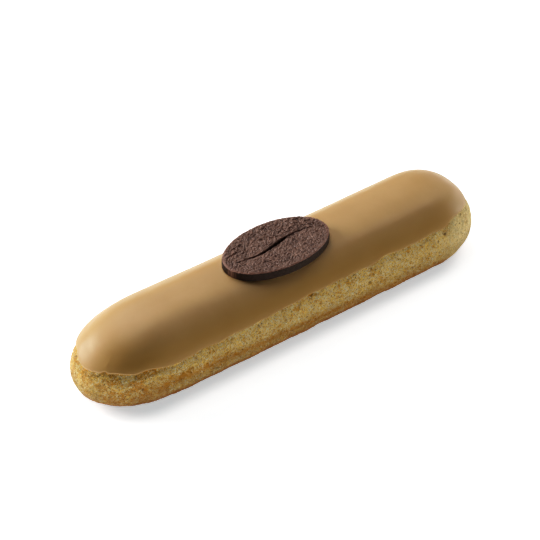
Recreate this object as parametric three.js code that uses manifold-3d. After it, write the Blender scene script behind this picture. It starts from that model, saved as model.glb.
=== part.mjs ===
// A coffee eclair: a finger of choux pastry, coffee fondant over its upper half, and a flat oval
// chocolate plaque shaped like a coffee bean pressed on to the crest while the fondant was soft.
// Millimetres, +Z up. It stands on its flat underside, with its length along X.

import * as THREE from 'three';
import { mergeVertices } from 'three/addons/utils/BufferGeometryUtils.js';
import Module from 'manifold-3d';

// Driving dimensions: the whole finger, icing included
const LENGTH = 140;
const WIDTH = 31.8;
const HEIGHT = 24.7;
const WIDEST_AT = 8.3;              // height of the widest line
const DOME_POWER = 2.33;            // how full the dome is above it: 2 is a plain ellipse
const CORNER_POWER = 2.1;           // and the rounded corner below it
const FLAT_SHARE = 0.6;             // the flat underside's share of the width
const BEND = -0.6;                  // the middle lies this far off the line between the ends
const BLUNT_END = { reach: 26.9, power: 2.17 };   // the long, tapering end, at -X
const ROUND_END = { reach: 21.2, power: 2.48 };   // the short, squarer end, at +X

// Choux: the baked crust is a little lumpy, most of all round its sides
const CRUST_LUMP = 0.1;

// Coffee fondant
const ICING_CREST = 1.8;            // thickness on the crest
const ICING_EDGE = 0.5;             // thickness at its lower edge
const EDGE_AT = 16.44;              // height of the lower edge at mid length
const EDGE_RISE = 0.86;             // it climbs this much from mid length to the +X end
const EDGE_WAVES = [                // how it wanders up and down: waves that close on themselves
  { count: 2, height: 0.38, phase: -2.41 },
  { count: 4, height: 0.3, phase: -1.93 },
  { count: 11, height: 0.17, phase: -1.59 },
  { count: 20, height: 0.17, phase: -1.59 },
  { count: 22, height: 0.16, phase: 0.1 },
  { count: 34, height: 0.12, phase: 2.78 },
];
const EDGE_PROUD = 0.2;             // how far the edge stands out past the crust
const LIP_PROUD = 0.25;             // and how much further round the -X end, where the fondant ran
const GAP = 0.3;                    // clear space between neighbouring pieces
const DIP = 3.2;                    // height of the band where the crust turns in under the edge
const SHOULDER = 0.34;              // a soft shoulder swells along both sides, none round the ends,
const SHOULDER_TILT = 19;           // where the surface tilts by this many degrees at mid length,
const SHOULDER_DRIFT = 0.138;       // and by so many more for each millimetre towards +X
const SHOULDER_SPREAD = 12;

// Chocolate plaque
const PLAQUE = { length: 35, width: 20.4, thick: 2.8, x: -1.3, y: -0.8, turn: -1.5 };
const PLAQUE_SUNK = 0.25;           // pressed this far into the crest
const PLAQUE_BUMP = 0.12;           // rough cast top
const PLAQUE_CHAMFER = 0.25;
const CREASE = { length: 25.6, width: 1.2, depth: 1.3, sway: 1.33, wave: 32, offset: 0.17 };

// How finely the forms are faceted
const SIDE_STEPS = 38;
const END_STEPS = 26;
const PLAQUE_STEPS = 60;
const CREASE_STEPS = 20;

const RIGHT_ANGLE = Math.PI / 2;
const mix = THREE.MathUtils.lerp;
const smooth = THREE.MathUtils.smoothstep;

// A sine or cosine bent to a superellipse of the given power
function bent(value, power) {
  return Math.sign(value) * Math.abs(value) ** (2 / power);
}

// The finger in plan: a spine on the long axis, and columns that reach from it to the outline,
// anticlockwise from the start of the -Y side. Each column knows its share of the way round.
function makeColumns() {
  const spineStart = BLUNT_END.reach - LENGTH / 2;
  const spineEnd = LENGTH / 2 - ROUND_END.reach;
  const half = WIDTH / 2;
  const columns = [];

  function addSide(from, to, reachY) {
    for (let i = 0; i < SIDE_STEPS; i++) {
      columns.push({ spine: mix(from, to, i / SIDE_STEPS), reachX: 0, reachY });
    }
  }

  function addEnd(spine, end, startAngle) {
    for (let i = 0; i < END_STEPS; i++) {
      const angle = startAngle + Math.PI * i / END_STEPS;
      const reachX = end.reach * bent(Math.cos(angle), end.power);
      const reachY = half * bent(Math.sin(angle), end.power);
      columns.push({ spine, reachX, reachY });
    }
  }

  addSide(spineStart, spineEnd, -half);
  addEnd(spineEnd, ROUND_END, -RIGHT_ANGLE);
  addSide(spineEnd, spineStart, half);
  addEnd(spineStart, BLUNT_END, RIGHT_ANGLE);

  let along = 0;
  columns.forEach((column, i) => {
    const next = columns[(i + 1) % columns.length];
    column.along = along;
    along += Math.hypot(
      next.spine + next.reachX - column.spine - column.reachX,
      next.reachY - column.reachY,
    );
  });
  for (const column of columns) {
    column.round = 2 * Math.PI * column.along / along;
  }
  return columns;
}

// One side of the upright cut through the finger: turn 1 is the crest, 0 the widest line and -1 the
// edge of the flat underside. It gives the share of the reach, the height and the way out.
function cutAt(turn, reach) {
  const angle = Math.abs(turn) * RIGHT_ANGLE;
  const power = turn >= 0 ? DOME_POWER : CORNER_POWER;
  const across = bent(Math.cos(angle), power);
  const upright = bent(Math.sin(angle), power);
  const flat = turn >= 0 ? 0 : FLAT_SHARE;
  const rise = turn >= 0 ? HEIGHT - WIDEST_AT : -WIDEST_AT;
  const out = new THREE.Vector2(
    across ** (power - 1) / (reach * (1 - flat)),
    upright ** (power - 1) / rise,
  ).normalize();
  return { share: flat + (1 - flat) * across, z: WIDEST_AT + rise * upright, out };
}

// The turn at which the dome has a given height
function turnAt(z) {
  const upright = (z - WIDEST_AT) / (HEIGHT - WIDEST_AT);
  return Math.asin(upright ** (DOME_POWER / 2)) / RIGHT_ANGLE;
}

// A point of the finger, moved in from its outside by inset
function pointAt(column, turn, inset) {
  const reach = Math.hypot(column.reachX, column.reachY);
  const cut = cutAt(turn, reach);
  const distance = cut.share * reach - inset * cut.out.x;
  const x = column.spine + distance * column.reachX / reach;
  const y = distance * column.reachY / reach + BEND * (1 - (2 * x / LENGTH) ** 2);
  return new THREE.Vector3(x, y, cut.z - inset * cut.out.y);
}

// How much a column belongs to the -X end, from 0 on the straight sides to 1 at the tip
function endShare(column) {
  return Math.max(0, -column.reachX) / BLUNT_END.reach;
}

function edgeHeight(column) {
  const x = column.spine + column.reachX;
  let edge = EDGE_AT + EDGE_RISE * 2 * x / LENGTH;
  for (const { count, height, phase } of EDGE_WAVES) {
    edge += height * Math.sin(count * column.round + phase);
  }
  return edge;
}

function edgeProud(column) {
  return EDGE_PROUD + LIP_PROUD * endShare(column);
}

// Thickness of the fondant, thin at its edge (climb 0) and full on the crest (climb 1)
function icingThickness(climb) {
  return mix(ICING_EDGE, ICING_CREST, smooth(climb, 0, 0.9));
}

function icingProud(column, climb) {
  return edgeProud(column) * (1 - smooth(climb, 0, 0.25));
}

// How far the fondant swells out at its shoulders, which fade towards the crest and round the ends
function shoulderSwell(column, turn) {
  const { out } = cutAt(turn, Math.hypot(column.reachX, column.reachY));
  const tilt = THREE.MathUtils.radToDeg(Math.atan2(out.x, out.y));
  const at = SHOULDER_TILT + SHOULDER_DRIFT * (column.spine + column.reachX);
  const onSide = (2 * column.reachY / WIDTH) ** 2;
  const fade = onSide * Math.max(0, Math.cos(turn * RIGHT_ANGLE)) ** 0.5;
  return SHOULDER * fade * Math.exp(-(((tilt - at) / SHOULDER_SPREAD) ** 2));
}

// Slow lumps of the crust: none on the crest or the underside
function crustLump(column, turn) {
  const fade = Math.cos(turn * RIGHT_ANGLE);
  const wave = Math.sin(17 * column.round + 1.3 + 2.2 * turn) + 0.8 * Math.sin(29 * column.round - 3.1 * turn);
  return CRUST_LUMP * fade * wave;
}

// Joins the columns' points, row by row, into a closed surface. The first and last rows lie on the
// spine, where the columns meet.
function wrap(columns, rowsOf) {
  const rows = columns.map(rowsOf);
  const positions = [];
  for (let i = 0; i < rows.length; i++) {
    const here = rows[i];
    const next = rows[(i + 1) % rows.length];
    for (let j = 0; j + 1 < here.length; j++) {
      positions.push(here[j], next[j], next[j + 1], here[j], next[j + 1], here[j + 1]);
    }
  }
  return closedGeometry(positions);
}

// Merges shared corners and drops the triangles that this leaves without area
function closedGeometry(corners) {
  const loose = new THREE.BufferGeometry().setFromPoints(corners);
  const merged = mergeVertices(loose, 1e-3);
  const index = merged.getIndex().array;
  const kept = [];
  for (let i = 0; i < index.length; i += 3) {
    const [a, b, c] = index.slice(i, i + 3);
    if (a !== b && b !== c && c !== a) {
      kept.push(a, b, c);
    }
  }
  merged.setIndex(kept);
  return merged;
}

const wasm = await Module();
wasm.setup();

function toSolid(geometry) {
  const vertProperties = new Float32Array(geometry.getAttribute('position').array);
  const triVerts = new Uint32Array(geometry.getIndex().array);
  return new wasm.Manifold(new wasm.Mesh({ numProp: 3, vertProperties, triVerts }));
}

function toGeometry(solid) {
  const mesh = solid.getMesh();
  const geometry = new THREE.BufferGeometry();
  geometry.setAttribute('position', new THREE.BufferAttribute(mesh.vertProperties, 3));
  geometry.setIndex(new THREE.BufferAttribute(mesh.triVerts, 1));
  return geometry;
}

function makePiece(name, geometry, colour, roughness) {
  geometry.computeVertexNormals();
  const material = new THREE.MeshStandardMaterial({ color: colour, roughness, metalness: 0 });
  const mesh = new THREE.Mesh(geometry, material);
  mesh.name = name;
  return mesh;
}

// Choux finger: flat underside, rounded sides, and above the edge of the fondant a core that keeps
// clear of it.
function makeChoux(columns) {
  const cornerRows = 6;
  const bandRows = 4;
  const coveredRows = 5;

  return wrap(columns, (column) => {
    const edge = edgeHeight(column);
    const edgeTurn = turnAt(edge);
    const tuck = ICING_EDGE + GAP - edgeProud(column);
    const row = [new THREE.Vector3(column.spine, pointAt(column, 1, 0).y, 0)];
    for (let i = 0; i < cornerRows; i++) {
      const turn = i / cornerRows - 1;
      row.push(pointAt(column, turn, -crustLump(column, turn)));
    }
    for (let i = 0; i < bandRows; i++) {
      const turn = mix(0, edgeTurn, i / bandRows);
      const z = cutAt(turn, WIDTH / 2).z;
      const turnIn = tuck * smooth(z, edge - DIP, edge);
      row.push(pointAt(column, turn, turnIn - crustLump(column, turn) * (1 - turn / edgeTurn)));
    }
    for (let i = 0; i <= coveredRows; i++) {
      const climb = i / coveredRows;
      const inset = icingThickness(climb) + GAP - icingProud(column, climb);
      row.push(pointAt(column, mix(edgeTurn, 1, climb), inset));
    }
    return row;
  });
}

// Fondant shell: its outer face from the crest to the edge, a rounded lip, and its inner face back up
function makeIcing(columns) {
  const outerRows = 12;
  const innerRows = 6;

  return wrap(columns, (column) => {
    const edgeTurn = turnAt(edgeHeight(column));
    const turnOf = (climb) => mix(edgeTurn, 1, climb);
    const row = [];
    for (let i = innerRows; i > 0; i--) {
      const climb = i / innerRows;
      row.push(pointAt(column, turnOf(climb), icingThickness(climb) - icingProud(column, climb)));
    }
    const proud = icingProud(column, 0);
    row.push(pointAt(column, turnOf(0.02), ICING_EDGE - proud));
    row.push(pointAt(column, turnOf(0), ICING_EDGE / 2 - proud));
    for (let i = 0; i <= outerRows; i++) {
      const climb = mix(0.03, 1, i / outerRows);
      const swell = shoulderSwell(column, turnOf(climb));
      row.push(pointAt(column, turnOf(climb), -icingProud(column, climb) - swell));
    }
    return row;
  });
}

// Cast plaque about its own centre, standing on z = 0: rings from the middle of its underside, round
// its rim and over its rough top.
function makePlaqueBlank() {
  const { thick } = PLAQUE;
  const rimShare = 1 - PLAQUE_CHAMFER / (PLAQUE.width / 2);
  const rings = [
    { share: 0, z: 0 },
    { share: 1, z: 0 },
    { share: 1, z: thick - PLAQUE_CHAMFER },
    { share: rimShare, z: thick },
    { share: 0.8, z: thick, bump: 1 },
    { share: 0.6, z: thick, bump: 1 },
    { share: 0.4, z: thick, bump: 1 },
    { share: 0.2, z: thick, bump: 1 },
    { share: 0, z: thick },
  ];

  function pointOf(ring, step) {
    const angle = 2 * Math.PI * step / PLAQUE_STEPS;
    const x = ring.share * Math.cos(angle) * PLAQUE.length / 2;
    const y = ring.share * Math.sin(angle) * PLAQUE.width / 2;
    const bump = (ring.bump ?? 0) * Math.sin(1.7 * x + 1.1 * y) * Math.cos(1.9 * y - 0.6 * x);
    return new THREE.Vector3(x, y, ring.z + PLAQUE_BUMP * bump);
  }

  const corners = [];
  for (let step = 0; step < PLAQUE_STEPS; step++) {
    for (let i = 0; i + 1 < rings.length; i++) {
      const a = pointOf(rings[i], step);
      const b = pointOf(rings[i], step + 1);
      const c = pointOf(rings[i + 1], step + 1);
      const d = pointOf(rings[i + 1], step);
      corners.push(a, b, c, a, c, d);
    }
  }
  return closedGeometry(corners);
}

// The bean's crease: a V-shaped groove on an S-curve, widest and deepest in the middle
function makeCrease() {
  const above = 1;
  const sections = [];
  for (let i = 0; i <= CREASE_STEPS; i++) {
    const x = CREASE.length * (i / CREASE_STEPS - 0.5);
    const y = CREASE.offset + CREASE.sway * Math.sin(2 * Math.PI * x / CREASE.wave);
    const taper = mix(0.12, 1, (1 - Math.abs(2 * x / CREASE.length)) ** 0.8);
    const depth = CREASE.depth * taper;
    const half = CREASE.width / 2 * taper * (depth + above) / depth;
    sections.push([
      new THREE.Vector3(x, y, PLAQUE.thick - depth),
      new THREE.Vector3(x, y + half, PLAQUE.thick + above),
      new THREE.Vector3(x, y - half, PLAQUE.thick + above),
    ]);
  }

  const first = sections[0];
  const last = sections.at(-1);
  const corners = [first[0], first[2], first[1], last[0], last[1], last[2]];
  for (let i = 0; i < CREASE_STEPS; i++) {
    const here = sections[i];
    const next = sections[i + 1];
    for (let side = 0; side < 3; side++) {
      const other = (side + 1) % 3;
      corners.push(here[side], here[other], next[other], here[side], next[other], next[side]);
    }
  }
  return closedGeometry(corners);
}

// An upright oval that clears the plaque by the gap all round, for the pocket in the fondant
function makePocket() {
  const pocket = new THREE.CylinderGeometry(1, 1, HEIGHT, PLAQUE_STEPS);
  pocket.deleteAttribute('normal');
  pocket.deleteAttribute('uv');
  pocket.rotateX(RIGHT_ANGLE);
  pocket.scale(PLAQUE.length / 2 + GAP, PLAQUE.width / 2 + GAP, 1);
  pocket.translate(0, 0, HEIGHT / 2 - GAP);
  return mergeVertices(pocket, 1e-3);
}

const columns = makeColumns();
const plaquePlace = new THREE.Matrix4()
  .makeRotationZ(THREE.MathUtils.degToRad(PLAQUE.turn))
  .setPosition(PLAQUE.x, PLAQUE.y, HEIGHT - PLAQUE_SUNK);

const pocket = makePocket().applyMatrix4(plaquePlace);
const icing = toGeometry(toSolid(makeIcing(columns)).subtract(toSolid(pocket)));
const plaque = toGeometry(toSolid(makePlaqueBlank()).subtract(toSolid(makeCrease())));
plaque.applyMatrix4(plaquePlace);

const eclair = new THREE.Group();
eclair.add(makePiece('choux', makeChoux(columns), 0xd2ae6a, 0.9));
eclair.add(makePiece('coffee_icing', icing, 0xb58f5c, 0.4));
eclair.add(makePiece('bean_plaque', plaque, 0x4a2f22, 0.5));

// The bend and the lumps shift the outline a little, so it is set back over the middle of its box
const middle = new THREE.Box3().setFromObject(eclair).getCenter(new THREE.Vector3());
eclair.position.set(-middle.x, -middle.y, 0);

export default eclair;
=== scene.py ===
"""A coffee eclair in a white studio: baked choux, satin coffee fondant, a chocolate bean plaque.

Metres, +Z up. It stands on its flat underside with its length along X, the long tapering end at -X,
and the photograph looks at its -Y side from above.
"""

import itertools
import math

import bmesh
import bpy
import numpy as np
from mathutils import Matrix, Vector


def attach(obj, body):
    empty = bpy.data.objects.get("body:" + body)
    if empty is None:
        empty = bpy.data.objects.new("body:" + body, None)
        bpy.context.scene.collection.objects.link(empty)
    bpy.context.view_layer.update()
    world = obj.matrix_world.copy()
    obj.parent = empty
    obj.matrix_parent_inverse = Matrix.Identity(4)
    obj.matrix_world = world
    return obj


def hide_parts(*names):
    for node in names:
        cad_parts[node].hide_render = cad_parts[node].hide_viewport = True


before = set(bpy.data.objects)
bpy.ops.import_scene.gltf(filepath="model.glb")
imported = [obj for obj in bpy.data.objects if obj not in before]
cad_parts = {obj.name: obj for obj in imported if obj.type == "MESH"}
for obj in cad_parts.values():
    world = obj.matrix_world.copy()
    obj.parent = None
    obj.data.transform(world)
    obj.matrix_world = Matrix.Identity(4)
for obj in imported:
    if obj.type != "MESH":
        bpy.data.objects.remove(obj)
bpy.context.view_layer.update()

# ---------------------------------------------------------------------------------------------
# The camera: a long lens about half a metre off, above the tapering end and the -Y side, so the
# finger runs from the lower left of the picture to its upper right.

CAMERA_AZIMUTH = math.radians(-34.77)
CAMERA_ELEVATION = math.radians(42.25)
CAMERA_DISTANCE = 0.5205
CAMERA_LENS, CAMERA_SENSOR = 113.8, 36.0           # millimetres
CAMERA_AIM = Vector((0.00254, 0.00831, 0.00864))


def put(name, data):
    """An object with this data, in the scene."""
    made = bpy.data.objects.new(name, data)
    bpy.context.collection.objects.link(made)
    return made


toward_camera = Vector((
    math.sin(CAMERA_AZIMUTH) * math.cos(CAMERA_ELEVATION),
    -math.cos(CAMERA_AZIMUTH) * math.cos(CAMERA_ELEVATION),
    math.sin(CAMERA_ELEVATION),
))
camera_data = bpy.data.cameras.new("camera")
camera_data.sensor_width = CAMERA_SENSOR
camera_data.lens = CAMERA_LENS
camera = put("camera", camera_data)
camera.location = CAMERA_AIM + CAMERA_DISTANCE * toward_camera
camera.rotation_euler = (math.pi / 2 - CAMERA_ELEVATION, 0.0, CAMERA_AZIMUTH)
bpy.context.scene.camera = camera

# ---------------------------------------------------------------------------------------------
# The choux finger: pastry piped in one stroke and baked on a tray. Its crust is a fine net of pale
# threads round golden pits, browner in a low band, at the tapering end and on the flat underside.
# It turns in a little under the edge of the fondant, and goes on plain beneath it.
# Its colour also holds painted shade low down and under the -X lip, and painted light at both ends.

LENGTH, WIDTH, HEIGHT = 0.1400, 0.0318, 0.0247     # the whole finger, fondant included
WIDEST_AT = 0.0083
DOME_POWER, CORNER_POWER = 2.33, 2.1               # fullness of the dome and of the rounded corner
FLAT_SHARE = 0.6                                   # the flat underside's share of the width
BEND = -0.0006                                     # the middle lies this far off the ends' line
BLUNT_REACH, BLUNT_POWER = 0.0269, 2.17            # the long, tapering end, at -X
ROUND_REACH, ROUND_POWER = 0.0212, 2.48            # the short, squarer end, at +X
SET_BACK = (0.00001, 0.00050)                      # brings the bent outline over its middle

EDGE_AT = 0.01644                                  # height of the fondant's lower edge
EDGE_RISE = 0.00086                                # its climb from mid length to the +X end
EDGE_WAVES = (                                     # how often round, how high, and where it starts
    (2, 0.00038, -2.41), (4, 0.00030, -1.93), (11, 0.00017, -1.59), (13, 0.00011, 0.0),
    (20, 0.00017, -1.59), (22, 0.00016, 0.10), (34, 0.00012, 2.78))
SCALLOP = 0.00015                                  # finer scallops between the waves
NOTCH_AT, NOTCH_WIDTH, NOTCH = -0.0667, 0.0006, 0.0006   # a nick in the edge at the tapering end
TUCK, TUCK_BLUNT = 0.00018, 0.00025                # how far the crust turns in under the edge,
TUCK_BAND = 0.0026                                 # and how much further at the tapering end
BENEATH = 0.0011                                   # how deep it lies under the fondant's outside

CRUST_SIDE_COLUMNS, CRUST_END_COLUMNS = 352, 250
CRUST_FLAT_ROWS, CRUST_CORNER_ROWS, CRUST_BAND_ROWS, CRUST_HIDDEN_ROWS = 5, 38, 29, 5

LUMP = 0.00010                                     # slow lumps all round
SWELL, SWELL_CELL = 0.00012, 0.0065
BLISTER, BLISTER_CELL = 0.00010, 0.0026
THREAD_DEPTH, THREAD_CELL = 0.00012, 0.00095       # the net of threads and the pits between them
FINE_DEPTH, FINE_CELL = 0.00007, 0.00055
HOLE_DEPTH, HOLE_CELL = 0.00018, 0.0013            # scattered deeper pores
LIP_SHADE_BELOW, LIP_HOLE_CELL = 0.0009, 0.0014             # holes carved and darkened as painted shade, this far under the -X lip

BAND_AT, BAND_SLOPE, BAND_SPREAD = 0.0072, -0.053, 0.0015   # the browned band: height, slope, spread
BAND_MIDDLE, BAND_FULL, BAND_END = -0.004, 0.040, 0.056     # it fades towards both ends
BROWN_FULL, BROWN_END = 0.0042, 0.0058             # heights where the browned underside ends,
FOOT_FULL, FOOT_END = 0.0030, 0.0046               # the darkest foot,
SHADE_FULL, SHADE_END = 0.0045, 0.0130                 # and the lower half, darkened as painted shade
RIGHT_FROM, RIGHT_TO = 0.050, 0.064                # the +X end, where the first two end lower, by
RIGHT_BROWN, RIGHT_FOOT = 0.0012, 0.0014           # this much
PALE_FROM, PALE_TO = 0.046, 0.060                  # painted light on the +X end
TIP_FROM, TIP_TO, TIP_PALE = 0.0630, 0.0685, 0.25  # and a little on the very tip at -X
TOASTED_FROM, TOASTED_TO = 0.040, 0.058            # the toasted -X end
UNDERSIDE = {"pit": 0.3, "bake": 1.0, "foot": 1.0, "low": 1.0, "gold": 0.5}   # the flat underside, with the lower half's painted shade full


def bent(value, power):
    """A sine or cosine bent to a superellipse."""
    return np.sign(value) * np.abs(value) ** (2 / power)


def smooth(value, low, high):
    share = np.clip((value - low) / (high - low), 0, 1)
    return share * share * (3 - 2 * share)


def mix(start, end, share):
    return start + (end - start) * share


class Columns:
    """The finger in plan: columns that reach from a spine on the long axis to the outline,
    anticlockwise from the start of the -Y side."""

    def __init__(self, side_count, end_count):
        half = WIDTH / 2
        spine_low, spine_high = BLUNT_REACH - LENGTH / 2, LENGTH / 2 - ROUND_REACH
        along_side = np.arange(side_count) / side_count
        round_x, round_y = self.end(ROUND_REACH, ROUND_POWER, -math.pi / 2, end_count)
        blunt_x, blunt_y = self.end(BLUNT_REACH, BLUNT_POWER, math.pi / 2, end_count)
        straight = np.zeros(side_count)
        self.spine = np.concatenate([
            mix(spine_low, spine_high, along_side), np.full(end_count, spine_high),
            mix(spine_high, spine_low, along_side), np.full(end_count, spine_low)])
        self.reach_x = np.concatenate([straight, round_x, straight, blunt_x])
        self.reach_y = np.concatenate([straight - half, round_y, straight + half, blunt_y])
        self.reach = np.hypot(self.reach_x, self.reach_y)
        self.x = self.spine + self.reach_x
        steps = np.hypot(np.roll(self.x, -1) - self.x, np.roll(self.reach_y, -1) - self.reach_y)
        self.along = np.concatenate([[0], np.cumsum(steps)[:-1]])
        self.round = 2 * math.pi * self.along / steps.sum()
        self.count = len(self.x)

    @staticmethod
    def end(reach, power, start, count):
        """Reach vectors round one end, evenly spaced along its outline."""
        angle = start + np.linspace(0, math.pi, 4001)
        x, y = reach * bent(np.cos(angle), power), WIDTH / 2 * bent(np.sin(angle), power)
        length = np.concatenate([[0], np.cumsum(np.hypot(np.diff(x), np.diff(y)))])
        even = np.interp(np.arange(count) / count * length[-1], length, angle)
        return reach * bent(np.cos(even), power), WIDTH / 2 * bent(np.sin(even), power)


def cut_at(turn, reach):
    """One side of the upright cut: turn 1 is the crest, 0 the widest line, -1 the edge of the flat.
    It gives the share of the reach, the height, and the way out (across, up)."""
    above = turn >= 0
    power = np.where(above, DOME_POWER, CORNER_POWER)
    angle = np.abs(turn) * math.pi / 2
    across, upright = bent(np.cos(angle), power), bent(np.sin(angle), power)
    flat = np.where(above, 0, FLAT_SHARE)
    rise = np.where(above, HEIGHT - WIDEST_AT, -WIDEST_AT)
    out_across = np.abs(across) ** (power - 1) / (reach * (1 - flat))
    out_up = upright ** (power - 1) / rise
    size = np.hypot(out_across, out_up)
    return flat + (1 - flat) * across, WIDEST_AT + rise * upright, out_across / size, out_up / size


def arc_steps():
    """Turns from the flat's edge to the crest, and the distance up the cut at each."""
    turns = np.linspace(-1, 1, 4001)
    share, height, _, _ = cut_at(turns, WIDTH / 2)
    steps = np.hypot(np.diff(share) * WIDTH / 2, np.diff(height))
    return turns, np.concatenate([[0], np.cumsum(steps)])


CUT_TURNS, CUT_ARCS = arc_steps()


def arc_of(turn):
    return np.interp(turn, CUT_TURNS, CUT_ARCS)


def turn_of(arc):
    return np.interp(arc, CUT_ARCS, CUT_TURNS)


def turn_at(height):
    upright = (height - WIDEST_AT) / (HEIGHT - WIDEST_AT)
    return np.arcsin(upright ** (DOME_POWER / 2)) / (math.pi / 2)


def skin_points(columns, turn):
    """Points of the finger's outside and the way out at each, for turns in rows of columns."""
    share, height, out_across, out_up = cut_at(turn, columns.reach)
    way_x, way_y = columns.reach_x / columns.reach, columns.reach_y / columns.reach
    x = columns.spine + share * columns.reach_x
    y = share * columns.reach_y + BEND * (1 - (2 * x / LENGTH) ** 2)
    points = np.stack([x + SET_BACK[0], y + SET_BACK[1], height], axis=-1)
    out = np.stack([out_across * way_x, out_across * way_y, out_up], axis=-1)
    return points, out


def gradient_noise(points, cell, seed):
    """Smooth noise in space, about -1 to 1, with about one swing for each cell."""
    rng = np.random.default_rng(seed)
    order = rng.permutation(256)
    slopes = rng.normal(size=(256, 3))
    slopes /= np.linalg.norm(slopes, axis=1, keepdims=True)
    scaled = points / cell
    corner = np.floor(scaled).astype(int)
    inside = scaled - corner
    fade = inside ** 3 * (inside * (inside * 6 - 15) + 10)
    total = np.zeros(points.shape[:-1])
    for step in itertools.product((0, 1), repeat=3):
        at = corner + step
        pick = order[(order[(order[at[..., 0] & 255] + at[..., 1]) & 255] + at[..., 2]) & 255]
        weight = np.where(step, fade, 1 - fade).prod(axis=-1)
        total += weight * ((inside - step) * slopes[pick]).sum(axis=-1)
    return total * 1.6


def edge_height(columns):
    """Height of the fondant's lower edge: a slow climb, waves, and fine scallops where it set."""
    outline = np.stack([columns.x, columns.reach_y, 0 * columns.x], axis=-1)
    wave = sum(height * np.sin(count * columns.round + phase) for count, height, phase in EDGE_WAVES)
    scallop = gradient_noise(outline, 0.0030, 11) + 0.5 * gradient_noise(outline, 0.0012, 12)
    nick = NOTCH * np.exp(-((columns.x - NOTCH_AT) / NOTCH_WIDTH) ** 2) * (columns.reach_y < 0)
    return EDGE_AT + EDGE_RISE * 2 * columns.x / LENGTH + wave + SCALLOP * scallop + nick


def keep_values(mesh, named_values):
    """Stores a number at each point of a mesh, for its material to read."""
    for name, values in named_values.items():
        layer = mesh.attributes.new(name, "FLOAT", "POINT")
        layer.data.foreach_set("value", values.astype(np.float32).ravel())


def grid_object(name, rows, named_values):
    """A closed skin from rows of points, bottom to top, that run anticlockwise. The first and last
    rows lie on the spine, where the two sides meet and are welded."""
    row_count, column_count = rows.shape[:2]
    index = np.arange(row_count * column_count).reshape(row_count, column_count)
    after = np.roll(index, -1, axis=1)
    faces = np.stack([index[:-1], after[:-1], after[1:], index[1:]], axis=-1).reshape(-1, 4)
    mesh = bpy.data.meshes.new(name)
    mesh.from_pydata(rows.reshape(-1, 3).tolist(), [], faces.tolist())
    keep_values(mesh, named_values)
    work = bmesh.new()
    work.from_mesh(mesh)
    bmesh.ops.remove_doubles(work, verts=work.verts, dist=2e-6)
    bmesh.ops.dissolve_degenerate(work, edges=work.edges, dist=1e-7)
    work.to_mesh(mesh)
    work.free()
    mesh.shade_smooth()
    return put(name, mesh)


def browning_shade_and_light(points):
    """How brown the crust is: a band that slopes down towards +X, the foot, and the -X end; with painted
    shade on the lower half and painted light at both ends.
    """
    x, height = points[..., 0], points[..., 2]
    wander = gradient_noise(points, 0.0085, 31) * 0.0007 + gradient_noise(points, 0.0030, 32) * 0.0004
    level = height + wander
    in_band = np.exp(-((level - BAND_AT - BAND_SLOPE * x) / BAND_SPREAD) ** 2)
    on_side = 1 - smooth(np.abs(x - BAND_MIDDLE), BAND_FULL, BAND_END)
    right_end = smooth(x, RIGHT_FROM, RIGHT_TO)
    underside = 1 - smooth(level + RIGHT_BROWN * right_end, BROWN_FULL, BROWN_END)
    patches = gradient_noise(points, 0.0040, 33) + 0.8 * gradient_noise(points, 0.0016, 34)
    uneven = smooth(gradient_noise(points, 0.0045, 35), -0.9, 0.4)
    return {
        "bake": np.maximum(in_band * on_side, underside),
        "foot": 1 - smooth(level + RIGHT_FOOT * right_end, FOOT_FULL, FOOT_END),
        # painted shade: how far the lower half is darkened
        "low": 1 - smooth(level, SHADE_FULL, SHADE_END),
        "gold": smooth(patches, -0.3, 1.0),
        "toasted": smooth(-x, TOASTED_FROM, TOASTED_TO) * uneven,
        "pale": np.maximum(smooth(x, PALE_FROM, PALE_TO), TIP_PALE * smooth(-x, TIP_FROM, TIP_TO)),
    }


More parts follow.
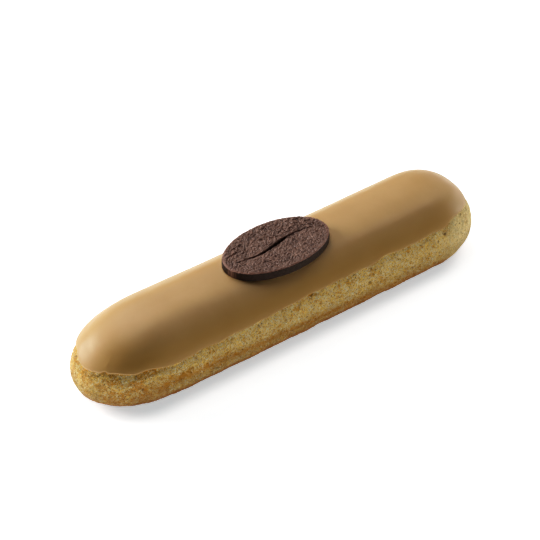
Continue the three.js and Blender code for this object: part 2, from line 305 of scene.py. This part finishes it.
def build_choux():
    columns = Columns(CRUST_SIDE_COLUMNS, CRUST_END_COLUMNS)
    edge = edge_height(columns)
    edge_arc = arc_of(turn_at(edge))
    widest_arc, crest_arc = arc_of(0.0), arc_of(1.0)

    def arcs(start, end, count, last=False):
        share = np.arange(count + last)[:, None] / count
        return mix(start, end, share) + np.zeros(columns.count)

    turn = turn_of(np.concatenate([
        arcs(0.0, widest_arc, CRUST_CORNER_ROWS),
        arcs(widest_arc, edge_arc, CRUST_BAND_ROWS),
        arcs(edge_arc, edge_arc + 0.0012, 4),
        arcs(edge_arc + 0.0012, crest_arc, CRUST_HIDDEN_ROWS, last=True)]))
    points, out = skin_points(columns, turn)
    height = points[..., 2]

    warp = np.stack([gradient_noise(points, 0.0017, seed) for seed in (21, 22, 23)], axis=-1)
    warped = points + 0.0004 * warp
    thread = np.abs(gradient_noise(warped, THREAD_CELL, 24))
    fine = np.abs(gradient_noise(warped, FINE_CELL, 25))
    pit = smooth(thread, 0.06, 0.42)
    hole = smooth(gradient_noise(warped, HOLE_CELL, 26), 0.50, 0.85)
    swell = gradient_noise(points, SWELL_CELL, 27)
    blister = gradient_noise(points, BLISTER_CELL, 28)
    slow = (np.sin(17 * columns.round + 1.3 + 2.2 * turn)
            + 0.8 * np.sin(29 * columns.round - 3.1 * turn))

    # Just under the lip at the tapering end, holes are carved in the crust and darkened as painted shade
    below = (edge - height - LIP_SHADE_BELOW) / LIP_SHADE_BELOW
    lip_holes_and_shade = np.exp(-below ** 2) * smooth(-columns.x, 0.046, 0.058)
    hole = np.maximum(hole, 0.6 * lip_holes_and_shade * smooth(gradient_noise(points, LIP_HOLE_CELL, 36), 0.0, 0.45))

    shown = 1 - smooth(height, edge + 0.0002, edge + 0.0012)      # plain under the fondant
    off_flat = smooth(turn, -1.0, -0.86)                          # flat on the tray
    relief = (LUMP * slow * np.cos(turn * math.pi / 2) + SWELL * swell + BLISTER * blister
              - THREAD_DEPTH * pit - FINE_DEPTH * smooth(fine, 0.05, 0.5) - HOLE_DEPTH * hole)
    blunt_share = smooth(np.maximum(0, -columns.reach_x) / BLUNT_REACH, 0.1, 0.7)
    tuck = (TUCK + TUCK_BLUNT * blunt_share) * smooth(height, edge - TUCK_BAND, edge)
    hidden = BENEATH * smooth(height, edge + 0.0002, edge + 0.0030)
    rise = relief * shown * off_flat - tuck - hidden
    outside = points + rise[..., None] * out
    outside[..., 2] = np.maximum(outside[..., 2], 0.0)

    share = np.arange(CRUST_FLAT_ROWS)[:, None, None] / CRUST_FLAT_ROWS
    spine_points, _ = skin_points(columns, np.ones((1, columns.count)))
    spine_points[..., 2] = 0
    flat_rows = mix(spine_points, outside[:1], share)
    rows = np.concatenate([flat_rows, outside])
    under = np.ones((CRUST_FLAT_ROWS, columns.count))
    values = {"pit": np.maximum(pit, hole), "hole": hole, **browning_shade_and_light(points)}
    return grid_object("choux_crust", rows, {
        name: np.concatenate([under * UNDERSIDE.get(name, 0.0), value]) for name, value in values.items()})


class Signal:
    """A number or colour that varies over a surface: one output of a material's nodes. Arithmetic
    on it adds Math nodes, so it is for numbers; colours are mixed with blend."""

    def __init__(self, tree, socket=None):
        self.tree = tree
        self.socket = socket

    def node(self, kind, settings=None, sockets=None, output=0):
        """Adds a node of this kind: its settings first, then its sockets' values or links."""
        made = self.tree.nodes.new(kind)
        for name, value in (settings or {}).items():
            setattr(made, name, value)
        for key, value in (sockets or {}).items():
            if isinstance(value, Signal):
                self.tree.links.new(value.socket, made.inputs[key])
            else:
                made.inputs[key].default_value = value
        return Signal(self.tree, made.outputs[output] if made.outputs else None)

    def math(self, operation, *values):
        return self.node("ShaderNodeMath", {"operation": operation}, dict(enumerate(values)))

    def __add__(self, other):
        return self.math("ADD", self, other)

    __radd__ = __add__

    def __sub__(self, other):
        return self.math("SUBTRACT", self, other)

    def __rsub__(self, other):
        return self.math("SUBTRACT", other, self)

    def __mul__(self, other):
        return self.math("MULTIPLY", self, other)

    __rmul__ = __mul__

    def smooth(self, low, high):
        """0 below low and 1 above high, with a soft step between."""
        return self.node("ShaderNodeMapRange", {"interpolation_type": "SMOOTHSTEP"},
                         {"Value": self, "From Min": low, "From Max": high})

    def blend(self, start, end):
        """Colour start where this is 0, end where it is 1."""
        return self.node("ShaderNodeMix", {"data_type": "RGBA"}, {0: self, 6: start, 7: end}, output=2)

    def tint(self, colour, by):
        """The colour, multiplied by the tint as far as this goes from 0 to 1."""
        return self.node("ShaderNodeMix", {"data_type": "RGBA", "blend_type": "MULTIPLY"},
                         {0: self, 6: colour, 7: by}, output=2)

    def attribute(self, name):
        return self.node("ShaderNodeAttribute", {"attribute_name": name}, output=2)

    def place(self):
        return self.node("ShaderNodeTexCoord", output=3)

    def noise(self, cell, detail=2.0, rough=0.5, curl=0.0):
        """Noise in space, 0 to 1 around 0.5, with one swing for each cell, curled into strands."""
        return self.node("ShaderNodeTexNoise", sockets={
            "Vector": self.place(), "Scale": 1 / cell, "Detail": detail, "Roughness": rough,
            "Distortion": curl})

    def strands(self, cell, width, curl=1.0):
        """A net of thin strands, 1 along them and 0 between, where a noise passes its middle."""
        apart = self.math("ABSOLUTE", self.noise(cell, detail=1.0, curl=curl) - 0.5)
        return 1 - apart.smooth(0.0, width)

    def bump(self, height, distance, strength=1.0):
        return self.node("ShaderNodeBump", sockets={
            "Strength": strength, "Distance": distance, "Height": height})


def new_shader(colour, roughness, others):
    """A Principled shader. Others are the values or links of its other sockets."""
    return colour.node("ShaderNodeBsdfPrincipled", sockets={
        "Base Color": colour, "Roughness": roughness, **others})


def new_finish(colour, roughness, others):
    shader = new_shader(colour, roughness, others)
    colour.node("ShaderNodeOutputMaterial", sockets={"Surface": shader})


def blank_material(name):
    material = bpy.data.materials.new(name)
    material.use_nodes = True
    material.node_tree.nodes.clear()
    return material, Signal(material.node_tree)


STRAND = (1.0, 0.87, 0.56, 1)                       # the pale threads
CREAM = (0.96, 0.670, 0.215, 1)
GOLD = (0.84, 0.43, 0.055, 1)
OCHRE = (0.50, 0.232, 0.028, 1)
BAKED = (0.68, 0.305, 0.030, 1)
FOOT = (0.36, 0.14, 0.022, 1)
RUST = (0.70, 0.315, 0.018, 1)
PORE = (0.26, 0.115, 0.026, 1)
PAINTED_LIGHT_ENDS = (1.0, 0.81, 0.42, 1)                         # painted light on both ends
TOASTED_TINT = (1.0, 0.955, 0.82, 1)
PAINTED_SHADE_TINT = (0.60, 0.56, 0.51, 1)                    # painted shade, darker towards the foot


def crust_finish():
    material, paint = blank_material("baked_choux")
    pit, hole = paint.attribute("pit"), paint.attribute("hole")
    bake, gold, toasted = paint.attribute("bake"), paint.attribute("gold"), paint.attribute("toasted")
    net = paint.strands(0.00105, 0.075, curl=1.4)
    fine_net = paint.strands(0.00065, 0.070, curl=1.0)
    grain = paint.noise(0.00036, detail=1.0, rough=0.6)
    specks = paint.noise(0.00070, detail=2.0, rough=0.6)
    blotch = paint.noise(0.0013, detail=3.0, rough=0.7, curl=0.8)

    amber = (gold * 0.22 + blotch + toasted * 0.16).smooth(0.58, 0.74)
    patch = (amber * 0.8).blend(CREAM, GOLD)
    depth = pit * 0.5 + amber * 0.2 + (grain - 0.5) * 4.2 + (blotch - 0.5) * 0.8
    crust = (depth.smooth(0.0, 0.95) * 0.9).blend(patch, OCHRE)
    baked = (bake * (0.35 + blotch * 0.8)).blend(crust, BAKED)
    toast = (toasted * (0.35 + (blotch - 0.5) * 3)).smooth(0.0, 1.0).blend(baked, RUST)
    threads = (net + fine_net * 0.5 + (grain - 0.5) * 2.2) * (1 - bake * 0.35) * (1 - amber * 0.4)
    threaded = (threads + toasted * net * 0.25).smooth(0.45, 0.95).blend(toast, STRAND)
    # Painted light: both ends lightened
    painted_light = (paint.attribute("pale") * 0.6).blend(threaded, PAINTED_LIGHT_ENDS)
    warmed = toasted.tint(painted_light, TOASTED_TINT)
    # Painted shade: the lower half darkened by a grey tint
    low_shaded = paint.attribute("low").tint(warmed, PAINTED_SHADE_TINT)
    foot = paint.attribute("foot").blend(low_shaded, FOOT)
    # The holes under the -X lip are darkened as painted shade, with the deeper pores and scattered dark
    # specks
    dark = (hole * 0.8 + (specks - 0.63).smooth(0.0, 0.08) * 0.8).smooth(0.1, 1.0)
    colour = dark.blend(foot, PORE)
    roughness = 0.45 + 0.3 * pit
    normal = paint.bump(net * 0.6 + fine_net * 0.35 + grain * 0.5, 0.00022, 1.0)
    new_finish(colour, roughness, {
        "Normal": normal, "IOR": 1.45, "Specular IOR Level": 0.15,
        "Coat Weight": toasted * 0.2, "Coat Roughness": 0.2})
    return material


choux = build_choux()
choux.data.materials.append(crust_finish())
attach(choux, "root")
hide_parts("choux")

# ---------------------------------------------------------------------------------------------
# The coffee fondant: the finger's top was dipped warm and drawn out, so the fondant lies in one
# satin coat, thickest on the crest and thin at its lower edge, where it set in fine scallops. At
# the tapering end it ran together into a rounder lip.
# Its colour holds painted shade on the -Y side, down towards the edge.

ICING_CREST, ICING_EDGE = 0.0018, 0.00045          # its thickness
EDGE_PROUD, LIP_PROUD = 0.00010, 0.00028           # how far the edge stands out, and the -X lip more
ICING_SIDE_COLUMNS, ICING_END_COLUMNS = 300, 210
ICING_LIP_ROWS, ICING_OUTER_ROWS, ICING_INNER_ROWS = 9, 64, 8
RIPPLE, RIPPLE_CELL = 0.00006, 0.0130              # it set in slow ripples
FINE_RIPPLE, FINE_RIPPLE_CELL = 0.00002, 0.0045
SHOULDER, SHOULDER_SPREAD = 0.00036, math.radians(12)   # a soft shoulder along both sides
SHOULDER_AT = math.radians(19)                     # how steep the surface is there at mid length
SHOULDER_DRIFT = math.radians(138)                 # and so much steeper for each metre towards +X
PLAQUE_LENGTH, PLAQUE_WIDTH, PLAQUE_THICK = 0.0350, 0.0204, 0.0028
PLAQUE_CENTRE = (-0.00129, -0.00030)
PLAQUE_TURN = math.radians(-1.5)
PLAQUE_SUNK, BED_GAP, BEAD = 0.00025, 0.00003, 0.00010   # into the crest, under it, squeezed up


def to_plaque(points):
    """Plan coordinates along and across the plaque, from its centre."""
    x, y = points[..., 0] - PLAQUE_CENTRE[0], points[..., 1] - PLAQUE_CENTRE[1]
    cos, sin = math.cos(PLAQUE_TURN), math.sin(PLAQUE_TURN)
    return x * cos + y * sin, y * cos - x * sin


def build_icing():
    columns = Columns(ICING_SIDE_COLUMNS, ICING_END_COLUMNS)
    edge_arc = arc_of(turn_at(edge_height(columns)))
    crest_arc = arc_of(1.0)
    end_share = np.maximum(0, -columns.reach_x) / BLUNT_REACH
    proud = EDGE_PROUD + LIP_PROUD * smooth(end_share, 0.1, 0.7)
    lip = (ICING_EDGE + proud) / 2                             # radius of the rounded edge

    inner_share = 1 - np.arange(ICING_INNER_ROWS)[:, None] / ICING_INNER_ROWS
    inner_arc = mix(edge_arc + lip, crest_arc, inner_share)
    inner_out = -mix(ICING_EDGE, ICING_CREST, smooth(inner_share, 0, 0.9))

    angle = -math.pi / 2 + math.pi * np.arange(ICING_LIP_ROWS)[:, None] / ICING_LIP_ROWS
    lip_arc = edge_arc + lip * (1 - np.cos(angle))
    lip_out = (proud - ICING_EDGE) / 2 + lip * np.sin(angle)

    outer_share = (np.arange(ICING_OUTER_ROWS + 1)[:, None] / ICING_OUTER_ROWS) ** 1.5
    outer_arc = mix(edge_arc + lip, crest_arc, outer_share)
    outer_out = proud * (1 - smooth(outer_share, 0, 0.22))

    arc = np.concatenate([inner_arc, lip_arc, outer_arc])
    rise = np.concatenate([inner_out + 0 * arc[:1], lip_out, outer_out])
    points, out = skin_points(columns, turn_of(arc))
    ripple = (RIPPLE * gradient_noise(points, RIPPLE_CELL, 41)
              + FINE_RIPPLE * gradient_noise(points, FINE_RIPPLE_CELL, 42))
    tilt = np.arctan2(np.hypot(out[..., 0], out[..., 1]), out[..., 2])
    shoulder_at = SHOULDER_AT + SHOULDER_DRIFT * columns.x
    shoulder = SHOULDER * np.exp(-((tilt - shoulder_at) / SHOULDER_SPREAD) ** 2)
    on_flank = (columns.reach_y / (WIDTH / 2)) ** 2             # none round the very ends
    fade = np.cos(turn_of(arc) * math.pi / 2) ** 0.5 * on_flank
    rise = rise + (ripple + shoulder) * fade
    rows = points + rise[..., None] * out

    # The plaque was pressed into the soft crest: a flat bed, with a slight bead squeezed up round it
    along, across = to_plaque(rows)
    oval = np.hypot(along / (PLAQUE_LENGTH / 2), across / (PLAQUE_WIDTH / 2))
    bed = HEIGHT - PLAQUE_SUNK
    outer = slice(ICING_INNER_ROWS + ICING_LIP_ROWS, None)
    height = rows[outer, :, 2]
    pressed = np.minimum(height, bed - BED_GAP)
    bead = BEAD * np.exp(-((oval[outer] - 1.02) / 0.02) ** 2) * smooth(height, bed - 0.0006, bed)
    rows[outer, :, 2] = np.where(oval[outer] < 1.0, pressed, height) + bead
    # Painted shade: the fondant is darkened on the -Y side towards its lower edge
    near_side = smooth(-columns.reach_y / (WIDTH / 2), 0.1, 0.9)
    near_side_shade = near_side * (1 - smooth((arc - edge_arc) / (crest_arc - edge_arc), 0.10, 0.60))
    return grid_object("fondant_coat", rows, {"near_side_shade": near_side_shade})


COFFEE = (0.66, 0.426, 0.192, 1)
COFFEE_DARK = (0.62, 0.388, 0.167, 1)
COFFEE_SHADED = (0.52, 0.305, 0.088, 1)               # painted shade on the -Y side, strongest at the lower edge and gone halfway to the crest


def fondant_finish():
    material, paint = blank_material("coffee_fondant")
    cloud = paint.noise(0.009, detail=3.0).smooth(0.3, 0.7)
    mottle = paint.noise(0.0012, detail=3.0, rough=0.6)
    thick = (cloud * 0.7 + (mottle - 0.5) * 0.5 + 0.1).blend(COFFEE_DARK, COFFEE)
    colour = paint.attribute("near_side_shade").blend(thick, COFFEE_SHADED)
    roughness = 0.41 + 0.08 * mottle
    normal = paint.bump(mottle, 0.00002, 0.35)
    new_finish(colour, roughness, {
        "Normal": normal, "IOR": 1.47, "Specular IOR Level": 0.60,
        "Sheen Weight": 0.15, "Sheen Roughness": 0.35,
        "Subsurface Weight": 0.15, "Subsurface Radius": (1.0, 0.6, 0.3), "Subsurface Scale": 0.0006})
    return material


icing = build_icing()
icing.data.materials.append(fondant_finish())
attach(icing, "root")
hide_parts("coffee_icing")

# ---------------------------------------------------------------------------------------------
# The plaque: dark chocolate cast on a rough sheet and cut to an oval like a coffee bean, with the
# bean's crease as a deep S-shaped slit. It lies level on the crest and overhangs on both sides.
# Its crease and cut rim are painted dark as shade, and a painted highlight runs round the top's edge.

CREASE_LENGTH, CREASE_WIDTH, CREASE_DEPTH = 0.0280, 0.00135, 0.0015
CREASE_SWAY, CREASE_WAVE, CREASE_OFFSET = 0.00133, 0.0320, 0.00017
CREASE_BELLY = 0.0046                              # half the length of its wide middle
CRUMPLE, CRUMPLE_CELL = 0.00014, 0.0012
GRIT, GRIT_CELL = 0.00028, 0.00054
RIDGE, RIDGE_CELL = 0.00030, 0.00060
SWEPT = math.radians(-12)                          # the ridges run this far off its length
ALONG_STEPS, ACROSS_STEPS, WALL_STEPS = 360, 74, 12
RIM_ROUND = 0.00018
WALL_ROUGH, WALL_CELL, WALL_STRETCH = 0.00006, 0.0009, 0.35   # its cut rim's upright tear marks
WALL_BULGE, WALL_PROUD = 0.00005, 0.00008
PALER_FROM, PALER_TO, PALER_AT = 0.0160, 0.0168, -0.0026   # a paler place on the cut rim at the -X end
PALER_HALF, PALER_END = 0.0008, 0.0018


def crease_at(along):
    """Where the crease runs across, its half width and its depth, for places along the plaque."""
    inside = 1 - smooth(np.abs(along), 0.8 * PLAQUE_LENGTH / 2, PLAQUE_LENGTH / 2)
    across = (CREASE_OFFSET + CREASE_SWAY * np.sin(2 * math.pi * along / CREASE_WAVE)) * inside
    taper = np.clip(1 - np.abs(2 * along / CREASE_LENGTH), 0, 1)
    waver = 1 + 0.10 * np.sin(along / 0.0011) + 0.06 * np.sin(along / 0.0005 + 1.0)
    open_share = 0.50 * taper ** 0.5 + 0.50 * np.exp(-(along / CREASE_BELLY) ** 2)
    return across, CREASE_WIDTH / 2 * open_share * waver + 0.00002, CREASE_DEPTH * taper ** 0.35


def plaque_relief(along, across):
    """Height of the rough cast top: crumpled all over, with swept ridges on the far half."""
    flat = np.stack([along, across, 0 * along], axis=-1)
    warp = 0.0005 * np.stack([gradient_noise(flat, 0.0022, seed) for seed in (51, 52, 53)], axis=-1)
    crumple = gradient_noise(flat + warp, CRUMPLE_CELL, 54)
    grit = gradient_noise(flat + 0.4 * warp, GRIT_CELL, 55)
    cos, sin = math.cos(SWEPT), math.sin(SWEPT)
    stretched, over = (along * cos + across * sin) * 0.45, across * cos - along * sin
    swept = np.stack([stretched, over, 0 * along], axis=-1)
    ridges = gradient_noise(swept + 0.6 * warp, RIDGE_CELL, 56)
    far = smooth(across, -0.001, 0.003)
    oval = np.hypot(along / (PLAQUE_LENGTH / 2), across / (PLAQUE_WIDTH / 2))
    relief = CRUMPLE * crumple + GRIT * grit + RIDGE * ridges * (0.3 + 0.7 * far)
    return relief * (1 - 0.6 * smooth(oval, 0.90, 1.0))


def plaque_top():
    """The cast top in rows along the plaque, with the depth of the crease and how near the rim is.
    The rows crowd round the crease, so that its walls stay crisp."""
    lips = np.array([0, 0.35, 0.7, 0.86, 0.95, 1.0, 1.08, 1.3])
    fall = np.array([1.0, 0.93, 0.75, 0.5, 0.22, 0.07, 0.015, 0.0])
    angle = math.pi * np.arange(1, ALONG_STEPS) / ALONG_STEPS
    along = -PLAQUE_LENGTH / 2 * np.cos(angle)
    rim = PLAQUE_WIDTH / 2 * np.sin(angle)
    middle, half, depth = crease_at(along)
    half = np.minimum(half, 0.3 * rim)

    def half_rows(side):
        """Rows from the crease out to the rim on one side: places across, and crease depth."""
        lip_rows = middle + side * half * lips[:, None]
        share = np.arange(1, ACROSS_STEPS + 1)[:, None] / ACROSS_STEPS
        field_rows = mix(lip_rows[-1], side * rim, share)
        drop = np.concatenate([depth * fall[:, None], 0 * field_rows])
        return np.concatenate([lip_rows, field_rows]), drop

    near, near_drop = half_rows(-1)
    far, far_drop = half_rows(1)
    across = np.concatenate([near[::-1], far[1:]])
    drop = np.concatenate([near_drop[::-1], far_drop[1:]])
    spread = along + 0 * across
    height = PLAQUE_THICK - drop + plaque_relief(spread, across)
    oval = np.hypot(spread / (PLAQUE_LENGTH / 2), across / (PLAQUE_WIDTH / 2))
    height -= RIM_ROUND * smooth(oval, 0.975, 1.0)
    return np.stack([spread, across, height], axis=-1), drop, oval


def build_plaque():
    top, drop, oval = plaque_top()

    # The cut rim, as rings from the top's edge down, then a flat underside
    rows, columns = top.shape[:2]
    index = np.arange(rows * columns).reshape(rows, columns)
    corners = [index[:-1, :-1], index[:-1, 1:], index[1:, 1:], index[1:, :-1]]
    faces = np.stack(corners, axis=-1).reshape(-1, 4).tolist()
    ring = np.concatenate([top[0], top[-1, ::-1]])
    from_centre = ring[:, :2] / [PLAQUE_LENGTH / 2, PLAQUE_WIDTH / 2]
    out = ring[:, :2] / np.linalg.norm(from_centre, axis=1)[:, None]
    points = [top.reshape(-1, 3)]
    previous = np.concatenate([index[0], index[-1, ::-1]])
    for step in range(1, WALL_STEPS + 1):
        share = step / WALL_STEPS
        level = mix(ring[:, 2], 0.0, share)
        spot = np.column_stack([ring[:, 0], ring[:, 1], level * WALL_STRETCH])
        rough = WALL_ROUGH * gradient_noise(spot, WALL_CELL, 57)
        proud = rough + WALL_BULGE * math.sin(math.pi * share) + WALL_PROUD
        grow = 1 + proud / (PLAQUE_WIDTH / 2)
        points.append(np.column_stack([out * grow[:, None], level]))
        current = rows * columns + (step - 1) * len(ring) + np.arange(len(ring))
        sides = [previous, current, np.roll(current, -1), np.roll(previous, -1)]
        faces += np.stack(sides, axis=-1).tolist()
        previous = current
    faces.append(previous[::-1].tolist())
    # The short sides of the top grid close against the ring's two joins
    faces.append(index[:, 0].tolist())
    faces.append(index[::-1, -1].tolist())

    local = np.concatenate(points)
    cos, sin = math.cos(PLAQUE_TURN), math.sin(PLAQUE_TURN)
    x, y, z = local.T
    placed = np.column_stack([
        PLAQUE_CENTRE[0] + x * cos - y * sin, PLAQUE_CENTRE[1] + x * sin + y * cos,
        HEIGHT - PLAQUE_SUNK + z])
    mesh = bpy.data.meshes.new("bean_plaque_cast")
    mesh.from_pydata(placed.tolist(), [], faces)
    cut = np.ones(len(placed))                                 # how far down the crease or the rim, where painted shade goes
    cut[:index.size] = (drop / CREASE_DEPTH).ravel()
    rim = np.zeros(len(placed))                                # a painted highlight: the thin bright edge round the top
    rim[:index.size] = smooth(oval, 0.955, 0.985).ravel()
    # The cut rim is paler at the tapering end, in upright streaks
    streaks = 0.5 + 0.5 * np.sin(y / 0.00013) * np.sin(y / 0.00031 + 1.0)
    paler_place = smooth(-x, PALER_FROM, PALER_TO) * (1 - smooth(np.abs(y - PALER_AT), PALER_HALF, PALER_END))
    paler_streaks = paler_place * streaks
    keep_values(mesh, {"cut": cut, "rim": rim, "paler_streaks": paler_streaks})
    work = bmesh.new()
    work.from_mesh(mesh)
    bmesh.ops.recalc_face_normals(work, faces=work.faces)
    bmesh.ops.triangulate(work, faces=[face for face in work.faces if len(face.verts) > 4])
    work.to_mesh(mesh)
    work.free()
    mesh.shade_smooth()
    mesh.set_sharp_from_angle(angle=math.radians(50))
    return put("bean_plaque_cast", mesh)


CHOCOLATE_DARK = (0.138, 0.068, 0.046, 1)
CHOCOLATE = (0.330, 0.190, 0.138, 1)
FLECK = (0.40, 0.190, 0.120, 1)
PAINTED_RIM_HIGHLIGHT = (0.34, 0.150, 0.095, 1)
CUT_SHADE = (0.044, 0.023, 0.013, 1)                      # painted shade in the crease and on the cut rim
PALER_STREAK_COLOUR = (0.30, 0.16, 0.11, 1)


def chocolate_finish():
    material, paint = blank_material("dark_chocolate")
    bloom = paint.noise(0.0040, detail=4.0, rough=0.6)
    grain = paint.noise(0.0005, detail=3.0, rough=0.6)
    flecks = paint.noise(0.0008, detail=2.0, rough=0.6)
    base = (bloom * 0.7 + grain * 0.6 - 0.15).smooth(0.2, 0.8).blend(CHOCOLATE_DARK, CHOCOLATE)
    top = (flecks.smooth(0.56, 0.72) * 0.5).blend(base, FLECK)
    # Painted highlight: a thin lighter line round the top's edge
    rim_highlit = (paint.attribute("rim") * 0.6).blend(top, PAINTED_RIM_HIGHLIGHT)
    normal = paint.bump(grain, 0.00030, 1.0)
    cast = new_shader(rim_highlit, 0.27 + 0.25 * grain, {
        "Normal": normal, "IOR": 1.5, "Specular IOR Level": 0.7})
    paler_streaks = paint.attribute("paler_streaks").blend(CUT_SHADE, PALER_STREAK_COLOUR)
    cut_side = new_shader(paler_streaks, 0.5 + 0.2 * grain, {
        "Normal": normal, "IOR": 1.5, "Specular IOR Level": 0.25})
    # Painted shade: the crease and the cut rim take the dark, rougher finish
    both = paint.node("ShaderNodeMixShader", sockets={
        0: paint.attribute("cut").smooth(0.05, 0.6), 1: cast, 2: cut_side})
    paint.node("ShaderNodeOutputMaterial", sockets={"Surface": both})
    return material


plaque = build_plaque()
plaque.data.materials.append(chocolate_finish())
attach(plaque, "root")
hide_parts("bean_plaque")

# ---------------------------------------------------------------------------------------------
# The studio: a white opal table that glows from below, with a painted shadow where its glow is
# dimmed close round the eclair, and soft boxes over its far side and both ends. The camera's side has
# only a low box, in front of the +X end, so the fondant turns dark there.

TABLE_SIZE = 3.0
TABLE_GAP = 0.00002                                # a hair under the eclair's flat foot
GLOW_FAR = (0.7178, 0.74, 0.7548, 1)
PAINTED_SHADOW_GLOW = (0.3872, 0.44, 0.4664, 1)              # painted shadow: the dimmer glow close round it, cooler because warm light comes off the crust
GLOW_FROM, GLOW_TO = 0.0130, 0.0194                # distances from its long axis between the two
AXIS_HALF = 0.050                                  # the long axis, up to the middles of both ends

SOFT_BOXES = {                                     # azimuth, elevation, size and power of each
    "back_left": (125, 28, 0.25, 3.4),
    "left": (138, 20, 0.25, 3.3),
    "left_low": (170, 9, 0.30, 0.6),
    "back": (85, 45, 0.40, 1.9),
    "back_high": (90, 75, 0.40, 1.45),
    "back_right": (60, 40, 0.35, 0.5),
    "right": (15, 30, 0.40, 0.6),
    "right_high": (0, 60, 0.40, 0.75),
    "right_low": (5, 8, 0.30, 0.8),
    "front_right_low": (342, 6, 0.30, 2.3),
}


def build_table():
    half = TABLE_SIZE / 2
    mesh = bpy.data.meshes.new("opal_table")
    corners = [(-half, -half), (half, -half), (half, half), (-half, half)]
    mesh.from_pydata([(x, y, -TABLE_GAP) for x, y in corners], [], [(0, 1, 2, 3)])
    table = put("opal_table", mesh)
    material, paint = blank_material("opal_white")
    x, y = (paint.node("ShaderNodeSeparateXYZ", sockets={"Vector": paint.place()}, output=axis)
            for axis in (0, 1))
    # Painted shadow: the glow is dimmed close round the eclair's long axis
    past_end = paint.math("MAXIMUM", paint.math("ABSOLUTE", x) - AXIS_HALF, 0.0)
    from_axis = paint.math("SQRT", past_end * past_end + y * y)
    glow_with_painted_shadow = from_axis.smooth(GLOW_FROM, GLOW_TO).blend(PAINTED_SHADOW_GLOW, GLOW_FAR)
    colour = paint.noise(0.5).blend((0.88, 0.88, 0.88, 1), (0.90, 0.90, 0.90, 1))
    new_finish(colour, 0.9, {
        "Specular IOR Level": 0.2, "Emission Color": glow_with_painted_shadow, "Emission Strength": 1.0})
    mesh.materials.append(material)


def build_lights():
    for name, (azimuth, elevation, size, power) in SOFT_BOXES.items():
        data = bpy.data.lights.new(name, "AREA")
        data.shape = "SQUARE"
        data.size = size
        data.energy = power
        turn, tilt = math.radians(azimuth), math.radians(elevation)
        light = put(name, data)
        light.location = (math.cos(turn) * math.cos(tilt), math.sin(turn) * math.cos(tilt), math.sin(tilt))
        light.rotation_euler = (-light.location).to_track_quat("-Z", "Y").to_euler()


build_table()
build_lights()

world = bpy.data.worlds.new("studio_air")
world.use_nodes = True
world.node_tree.nodes["Background"].inputs["Color"].default_value = (1, 1, 1, 1)
world.node_tree.nodes["Background"].inputs["Strength"].default_value = 0.01
bpy.context.scene.world = world

# ---------------------------------------------------------------------------------------------
# The picture's contrast: tones darker than the pivot are pressed down and lighter ones lifted a
# little, by a curve that is worked out from sRGB display values.

CONTRAST_PIVOT = 0.65
CURVE_LIGHTS = (0.01, 0.03, 0.1, 0.3, 0.6)         # where the curve has its points


def display_of(light):
    return 1.055 * light ** (1 / 2.4) - 0.055


def light_of(display):
    return ((display + 0.055) / 1.055) ** 2.4


view = bpy.context.scene.view_settings
view.view_transform = "Standard"
view.use_curve_mapping = True
tone = view.curve_mapping.curves[3]
for light in CURVE_LIGHTS:
    display = display_of(light)
    display += display * (1 - display) * (display - CONTRAST_PIVOT)
    tone.points.new(light, round(light_of(display), 4))
view.curve_mapping.update()
